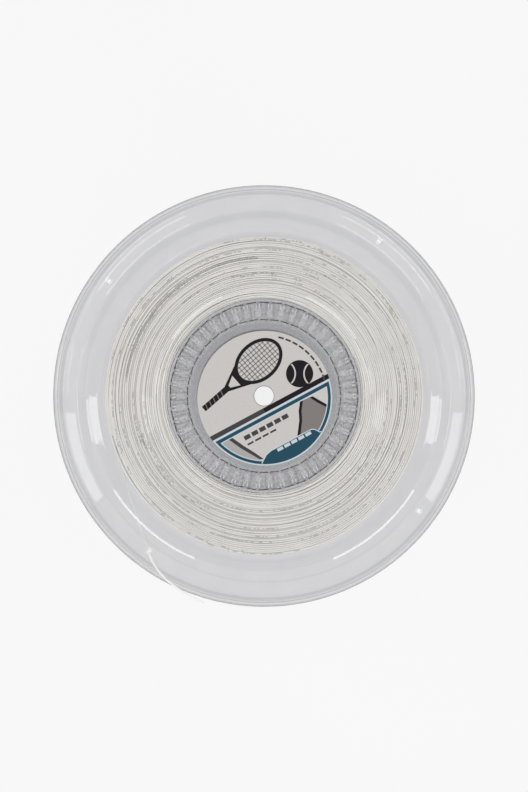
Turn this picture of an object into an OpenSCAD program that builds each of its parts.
// Racket string reel: two clear flange mouldings that interlock at the hub,
// a full winding of string, a loose string end and a round label on each side.
// The reel lies on its rear rim, the spindle axis is +Z and the front faces up.

/* [Reel] */
// Outer diameter of the flanges
reel_d = 266; // [262:0.5:272]
// Overall width from rim to rim
reel_w = 30; // [29:0.25:32]
// Wall thickness of the clear mouldings
wall = 1.3; // [1:0.1:1.5]
// Diameter of the spindle bore
bore_d = 12.4; // [8:0.1:13]

/* [Flange shape] */
// Depth of the hub web below the rim
web_depth = 3; // [2.8:0.1:3.4]
// Depth of the inner flange plane below the rim
flange_depth = 4; // [3.8:0.1:4.6]
// Radius where the flange starts its first step outwards
step_r = 104; // [102:0.5:106]
// Radius where the first step ends
plane_r = 112; // [110:0.5:114]
// Radius of the soft crease where the flare starts
flare_r = 118.4; // [117:0.1:119]
// Radius of the sharp crease where the flare meets the rim band
band_r = 126; // [125:0.1:127]
// Diameter of the rounded bead along the rim
bead_d = 2.2; // [2:0.1:2.4]

/* [Hub] */
// Outer radius of the drum that the string is wound on
drum_r = 61.3; // [61:0.1:62]
// Thickness of the drum wall
drum_wall = 1.2; // [0.8:0.1:1.4]
// Number of interlocking fingers, half of them on each flange
finger_count = 46; // [40:2:46]
// Inner radius of the ring of fingers
finger_in_r = 48.3; // [48:0.1:49]
// Outer radius of the ring of fingers
finger_out_r = 59.2; // [58:0.1:59.4]
// Width of one finger
finger_w = 6.2; // [5:0.1:6.2]
// Corner radius of a finger
finger_corner = 1.2; // [1:0.1:1.5]
// Wall thickness of a finger
finger_wall = 0.9; // [0.7:0.1:0.95]
// Outer diameter of the bosses around the spindle bore
boss_d = 16.4; // [16:0.1:20]

/* [String holes] */
// Radius of the circle of holes that hold the string end
hole_ring_r = 122.5; // [121.5:0.1:123]
// Diameter of one string hole
hole_d = 3.2; // [3:0.1:3.6]
// Number of string holes in each flange
hole_count = 4; // [2:1:8]
// Angle of the first string hole
hole_angle = 53.43; // [0:0.01:90]

/* [String] */
// Diameter of the string
string_d = 1.22; // [1.1:0.01:1.4]
// Outer radius of the full winding
winding_r = 100.7; // [90:0.1:101]
// Gap between the winding and its neighbours
winding_gap = 0.1; // [0.05:0.05:0.3]

/* [Labels] */
// Diameter of a label
label_d = 85.2; // [80:0.2:86]
// Diameter of the hole in a label
label_hole_d = 13; // [12.8:0.1:16]
// Thickness of a label
label_t = 0.3; // [0.2:0.05:0.5]
// Sideways offset of the front label from the axis
label_x = 0.5; // [-1:0.1:1]
// Offset of the front label from the axis, towards +Y
label_y = -1.4; // [-1.5:0.1:1.5]

/* [Hidden] */

$fn = 180;
tiny = 0.05;
reel_r = reel_d / 2;
mid_z = reel_w / 2;
bead_r = bead_d / 2;
web_in_z = web_depth + wall;
flange_in_z = flange_depth + wall;
step_rise = 1;
plane_z = flange_depth - step_rise;
band_z = 0.6;
hub_shoulder_r = 60;
hub_foot_r = 66;
tip_gap = 0.3;
finger_pitch = 360 / finger_count;
finger_end_z = reel_w - web_in_z - tip_gap;

// The bead is an arc from the underside of the rim round to its inner face
bead_arc = [for (a = [-90:15:90])
    [reel_r - bead_r + bead_r * cos(a), bead_r + bead_r * sin(a)]];

// Half section of one moulding, as radius and height above its own rim
outer_face = [
    [bore_d / 2, web_depth], [hub_shoulder_r, web_depth], [hub_foot_r, flange_depth],
    [step_r, flange_depth], [plane_r, plane_z], [flare_r, plane_z],
    [band_r, band_z], [reel_r - 3, 0]
];
inner_face = [
    [reel_r - 2.4, wall + 0.2], [band_r + 0.4, band_z + wall], [flare_r, plane_z + wall],
    [plane_r, plane_z + wall], [step_r, flange_in_z], [drum_r, flange_in_z],
    [drum_r, mid_z], [drum_r - drum_wall, mid_z], [drum_r - drum_wall, web_in_z],
    [boss_d / 2, web_in_z], [boss_d / 2, mid_z], [bore_d / 2, mid_z]
];

// Route of the loose string end: off the winding, out through a string hole and over the rim
TAIL_ROUTE = [
    [-88.8, -49.2, 21], [-87.2, -56, 21.3], [-85, -63.5, 21.7], [-82.5, -70.7, 22.1],
    [-80, -78, 22.6], [-77.6, -85, 23.1], [-76.2, -89.4, 23.4], [-75.2, -92.6, 23.7],
    [-74.3, -95.2, 24.4], [-73.6, -96.9, 25.7], [-73, -98.4, 27.7], [-72.4, -99.9, 29.7],
    [-71.6, -101.6, 31.1], [-70.5, -104, 31.8], [-68.5, -107.5, 31.9], [-66, -111, 31.7],
    [-62.5, -114.8, 31.4], [-58.4, -118.4, 31.2], [-53, -122.3, 30.9], [-47.2, -125.9, 30.3],
    [-42.5, -128.4, 29.5], [-38, -130.5, 28.4]
];
tail_sides = 8;
tail_steps = 3;

// Rectangle with round corners, standing radially from r_in to r_out
module finger_outline(r_in, r_out, w, corner) {
    length = r_out - r_in;
    translate([r_in + length / 2, 0]) {
        square([length - 2 * corner, w], center = true);
        square([length, w - 2 * corner], center = true);
        for (sx = [-1, 1], sy = [-1, 1])
            translate([sx * (length / 2 - corner), sy * (w / 2 - corner)])
                circle(corner, $fn = 24);
    }
}

// Hollow finger that stands on the web and is open at its tip
module finger() {
    translate([0, 0, web_in_z - tiny])
        linear_extrude(finger_end_z - web_in_z + tiny)
            difference() {
                finger_outline(finger_in_r, finger_out_r, finger_w, finger_corner);
                finger_outline(finger_in_r + finger_wall, finger_out_r - finger_wall,
                               finger_w - 2 * finger_wall, finger_corner - finger_wall / 2);
            }
}

// One moulding as it stands on its own rim, with its fingers at every other place
module flange_half(first_finger) {
    difference() {
        rotate_extrude()
            polygon(concat(outer_face, bead_arc, inner_face));
        for (k = [0:hole_count - 1])
            rotate(hole_angle + k * 360 / hole_count)
                translate([hole_ring_r, 0, -1])
                    cylinder(h = flange_in_z + 2, d = hole_d, $fn = 32);
    }
    for (k = [0:finger_count / 2 - 1])
        rotate((first_finger + 2 * k) * finger_pitch)
            finger();
}

module label_disc(x, y) {
    difference() {
        translate([x, y, 0])
            cylinder(h = label_t, d = label_d);
        translate([0, 0, -1])
            cylinder(h = label_t + 2, d = label_hole_d);
    }
}

// Point on a smooth curve through four neighbouring points, t from 0 to 1
function smooth_point(a, b, c, d, t) =
    b + t * (c - a) / 2 + t * t * (a - 2.5 * b + 2 * c - d / 2)
    + t * t * t * (1.5 * b - a / 2 - 1.5 * c + d / 2);
function unit(v) = v / norm(v);
function at(path, i) = path[max(0, min(len(path) - 1, i))];
function smooth_path(path, steps) = concat(
    [for (i = [0:len(path) - 2], s = [0:steps - 1])
        smooth_point(at(path, i - 1), path[i], path[i + 1], at(path, i + 2), s / steps)],
    [path[len(path) - 1]]);
function ring(path, i, r, sides) =
    let (along = unit(at(path, i + 1) - at(path, i - 1)),
         side = unit(cross(along, [0, 0, 1])),
         up = cross(side, along))
    [for (k = [0:sides - 1])
        path[i] + r * (cos(360 * k / sides) * side + sin(360 * k / sides) * up)];

// Round tube swept along a path, as one closed polyhedron
module tube(path, d, sides) {
    last = len(path) - 1;
    polyhedron(
        points = [for (i = [0:last]) each ring(path, i, d / 2, sides)],
        faces = concat(
            [[for (k = [0:sides - 1]) k]],
            [for (i = [0:last - 1], k = [0:sides - 1])
                [i * sides + k, (i + 1) * sides + k,
                 (i + 1) * sides + (k + 1) % sides, i * sides + (k + 1) % sides]],
            [[for (k = [sides - 1:-1:0]) last * sides + k]]),
        convexity = 6);
}

module rear_flange() {
    color([0.80, 0.81, 0.82, 0.5])
        flange_half(0);
}

module front_flange() {
    color([0.82, 0.83, 0.84, 0.5])
        translate([0, 0, reel_w])
            mirror([0, 0, 1])
                flange_half(1);
}

module rear_label() {
    color([0.80, 0.79, 0.77])
        translate([0, 0, web_depth - label_t])
            label_disc(0, 0);
}

module front_label() {
    color([0.80, 0.79, 0.77])
        translate([0, 0, reel_w - web_depth])
            label_disc(label_x, label_y);
}

// Outer shape of the whole winding, with round outer edges
module string_winding() {
    low = flange_in_z + winding_gap;
    edge = 2 * string_d;
    color([0.93, 0.92, 0.88])
        rotate_extrude()
            polygon(concat(
                [[drum_r + winding_gap, low]],
                [for (a = [-90:15:0])
                    [winding_r - edge + edge * cos(a), low + edge + edge * sin(a)]],
                [for (a = [0:15:90])
                    [winding_r - edge + edge * cos(a), reel_w - low - edge + edge * sin(a)]],
                [[drum_r + winding_gap, reel_w - low]]));
}

module string_tail() {
    color([0.95, 0.94, 0.91])
        tube(smooth_path(TAIL_ROUTE, tail_steps), string_d, tail_sides);
}

rear_flange();
front_flange();
rear_label();
front_label();
string_winding();
string_tail();
